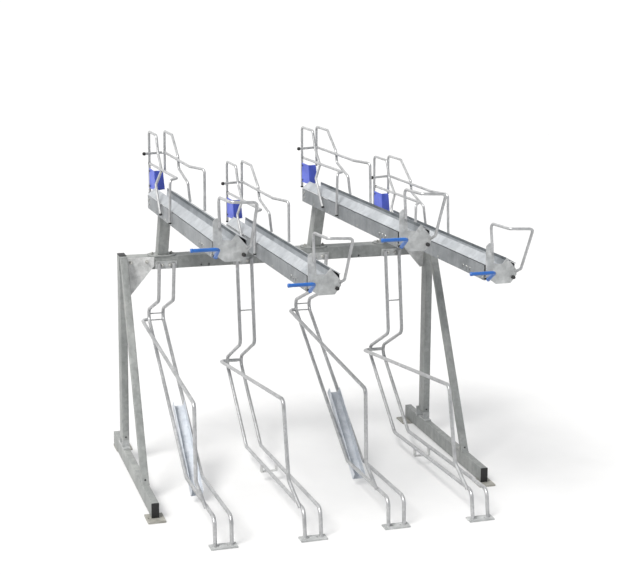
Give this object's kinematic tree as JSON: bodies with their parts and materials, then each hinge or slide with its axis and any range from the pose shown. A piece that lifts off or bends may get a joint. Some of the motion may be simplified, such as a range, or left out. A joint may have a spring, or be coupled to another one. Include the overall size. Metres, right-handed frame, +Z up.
{
  "type": "two tier bike rack",
  "caption": "Two tier bicycle rack in galvanised steel: a frame of posts, braces and a cross beam, bent-tube floor stands below, and sliding, tilting trays with blue grips above.",
  "frame": {"origin": "on the floor under the middle of the whole rack's bounding box", "axes": "+X to the right along the row of bays, +Y away from the loading side, +Z up"},
  "size_m": [1.918, 2.1044, 1.8779],
  "materials": {
    "frame_steel": "hot-dip galvanised, dull",
    "plate_zinc": "hot-dip galvanised, mottled",
    "tray_zinc": "galvanised sheet, satin",
    "tube_zinc": "bright zinc",
    "bolt_zinc": "zinc plated",
    "black_plastic": "moulded",
    "blue_plastic": "moulded"
  },
  "bodies": {
    "rack": {"left_foot": "frame_steel", "right_foot": "frame_steel", "left_post": "frame_steel", "right_post": "frame_steel", "left_brace": "frame_steel", "right_brace": "frame_steel", "cross_beam": "frame_steel", "ground_plates": "plate_zinc", "post_brackets": "frame_steel", "gusset_plates": "plate_zinc", "end_caps": "black_plastic", "frame_bolts": "bolt_zinc", "stand_brackets": "plate_zinc", "stand_1_tubes": "tube_zinc", "stand_2_tubes": "tube_zinc", "stand_3_tubes": "tube_zinc", "stand_4_tubes": "tube_zinc", "stand_1_lean_bar": "tube_zinc", "stand_2_lean_bar": "tube_zinc", "stand_3_lean_bar": "tube_zinc", "stand_4_lean_bar": "tube_zinc", "floor_plates": "plate_zinc", "cross_rods": "tube_zinc", "wheel_channel_1": "plate_zinc", "wheel_channel_3": "plate_zinc", "tube_straps": "plate_zinc", "tray_supports": "frame_steel", "support_bolts": "bolt_zinc", "rail_1": "frame_steel", "rail_2": "frame_steel", "rail_3": "frame_steel", "rail_4": "frame_steel"},
    "tilt_1": {"carriage_1": "bolt_zinc"},
    "slider_1": {"tray_1": "tray_zinc", "end_plate_1": "plate_zinc", "front_loop_1": "tube_zinc", "handle_1": "blue_plastic", "wheel_guides_1": "tube_zinc", "wheel_shields_1": "blue_plastic"},
    "tilt_2": {"carriage_2": "bolt_zinc"},
    "slider_2": {"tray_2": "tray_zinc", "end_plate_2": "plate_zinc", "front_loop_2": "tube_zinc", "handle_2": "blue_plastic", "wheel_guides_2": "tube_zinc", "wheel_shields_2": "blue_plastic"},
    "tilt_3": {"carriage_3": "bolt_zinc"},
    "slider_3": {"tray_3": "tray_zinc", "end_plate_3": "plate_zinc", "front_loop_3": "tube_zinc", "handle_3": "blue_plastic", "wheel_guides_3": "tube_zinc", "wheel_shields_3": "blue_plastic"},
    "tilt_4": {"carriage_4": "bolt_zinc"},
    "slider_4": {"tray_4": "tray_zinc", "end_plate_4": "plate_zinc", "front_loop_4": "tube_zinc", "handle_4": "blue_plastic", "wheel_guides_4": "tube_zinc", "wheel_shields_4": "blue_plastic"}
  },
  "joints": [
    {"name": "tray_1_tilt", "type": "hinge", "parent": "rack", "child": "tilt_1", "pos_m": [-0.675, -0.8459, 1.50719], "axis": [1, 0, 0], "range_deg": [0, 30]},
    {"name": "tray_1_slide", "type": "slide", "parent": "tilt_1", "child": "slider_1", "axis": [0, -0.9997, 0.0244], "range_m": [0, 1.2]},
    {"name": "tray_2_tilt", "type": "hinge", "parent": "rack", "child": "tilt_2", "pos_m": [-0.225, -0.8459, 1.32119], "axis": [1, 0, 0], "range_deg": [0, 30]},
    {"name": "tray_2_slide", "type": "slide", "parent": "tilt_2", "child": "slider_2", "axis": [0, -0.9997, 0.0244], "range_m": [0, 1.2]},
    {"name": "tray_3_tilt", "type": "hinge", "parent": "rack", "child": "tilt_3", "pos_m": [0.225, -0.8459, 1.50719], "axis": [1, 0, 0], "range_deg": [0, 30]},
    {"name": "tray_3_slide", "type": "slide", "parent": "tilt_3", "child": "slider_3", "axis": [0, -0.9997, 0.0244], "range_m": [0, 1.2]},
    {"name": "tray_4_tilt", "type": "hinge", "parent": "rack", "child": "tilt_4", "pos_m": [0.675, -0.8459, 1.32119], "axis": [1, 0, 0], "range_deg": [0, 30]},
    {"name": "tray_4_slide", "type": "slide", "parent": "tilt_4", "child": "slider_4", "axis": [0, -0.9997, 0.0244], "range_m": [0, 1.2]}
  ]
}
